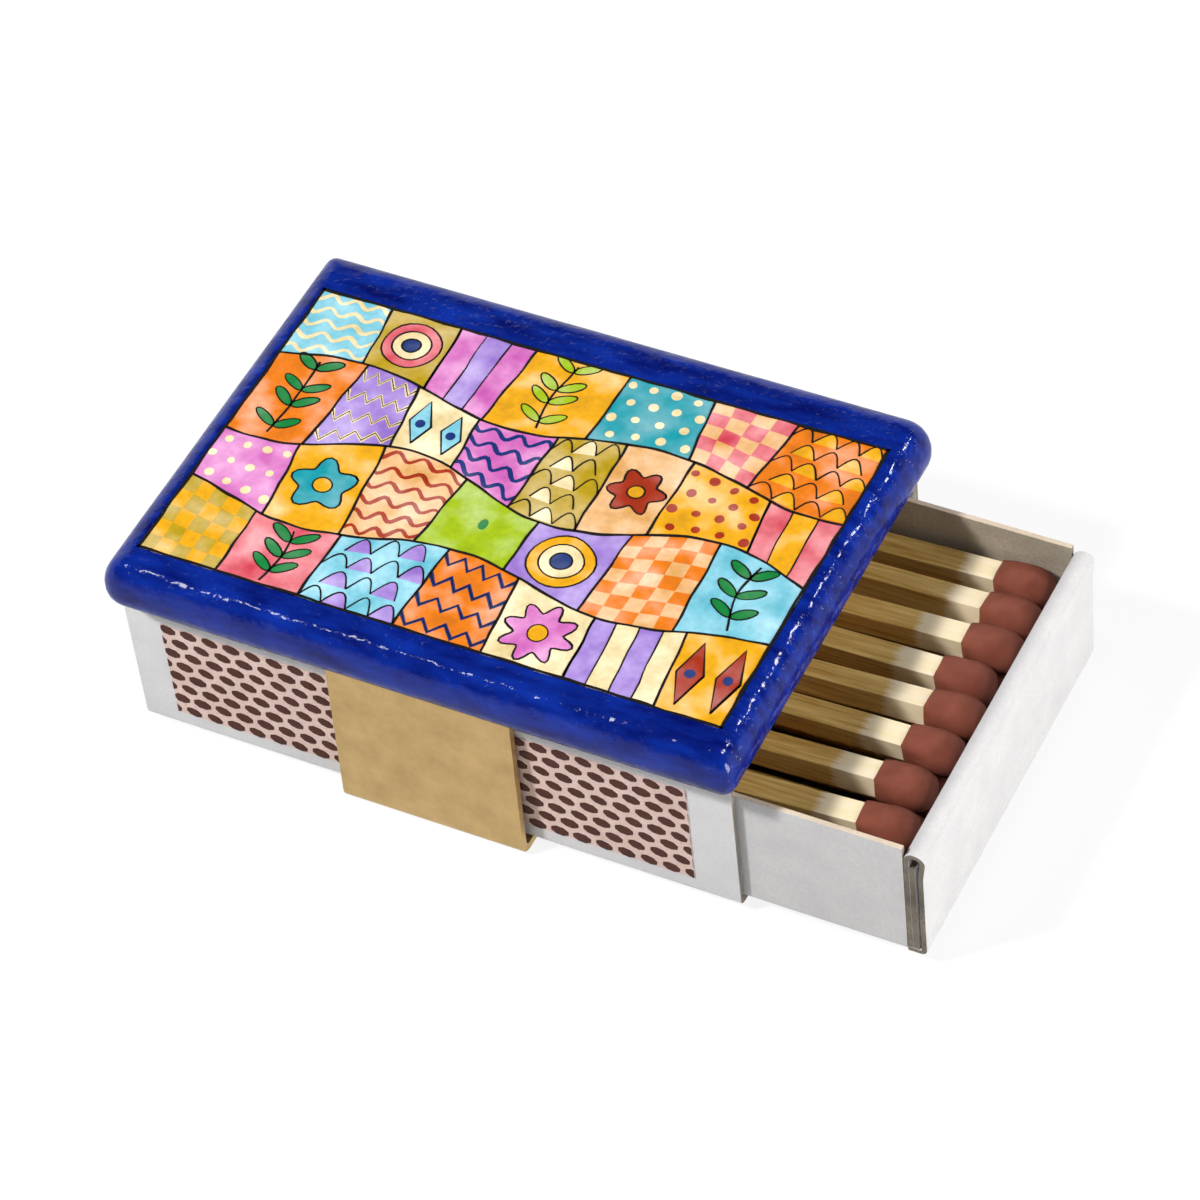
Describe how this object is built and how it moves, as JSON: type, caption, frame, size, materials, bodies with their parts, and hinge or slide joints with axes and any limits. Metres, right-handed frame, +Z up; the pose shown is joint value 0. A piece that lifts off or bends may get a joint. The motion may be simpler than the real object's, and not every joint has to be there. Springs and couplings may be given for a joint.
{
  "type": "matchbox holder",
  "caption": "Matchbox holder: a lacquered picture board with a sprung brass clip round a card matchbox, whose drawer of matches slides out.",
  "frame": {"origin": "middle of the footprint, with the drawer drawn out as it is at rest, on the underside of the clip's lips", "axes": "+X along the matchbox, the way the drawer is drawn out; +Y towards the back; +Z up through the board"},
  "size_m": [0.0692, 0.0396, 0.0199],
  "materials": {
    "lacquered_wood": "gloss",
    "picture": "gloss",
    "brass_sheet": "satin",
    "screw_brass": "satin",
    "white_card": "matte",
    "striker": "matte",
    "grey_card": "matte",
    "match_wood": "matte",
    "match_compound": "matte"
  },
  "bodies": {
    "holder": {"board": "lacquered_wood", "picture_panel": "picture", "spring_clip": "brass_sheet", "clip_screws": "screw_brass"},
    "sleeve": {"sleeve": "white_card", "striker_front": "striker", "striker_back": "striker"},
    "tray": {"tray": "grey_card", "middle_sticks": "match_wood", "middle_heads": "match_compound", "bottom_sticks": "match_wood", "bottom_heads": "match_compound", "match_stick_1": "match_wood", "match_stick_2": "match_wood", "match_stick_3": "match_wood", "match_stick_4": "match_wood", "match_stick_5": "match_wood", "match_stick_6": "match_wood", "match_stick_7": "match_wood", "match_stick_8": "match_wood", "match_head_1": "match_compound", "match_head_2": "match_compound", "match_head_3": "match_compound", "match_head_4": "match_compound", "match_head_5": "match_compound", "match_head_6": "match_compound", "match_head_7": "match_compound", "match_head_8": "match_compound"}
  },
  "joints": [
    {"name": "sleeve_slide", "type": "slide", "parent": "holder", "child": "sleeve", "axis": [1, 0, 0], "range_m": [-0.018, 0.018]},
    {"name": "tray_slide", "type": "slide", "parent": "sleeve", "child": "tray", "axis": [1, 0, 0], "range_m": [-0.05, 0.02]}
  ]
}
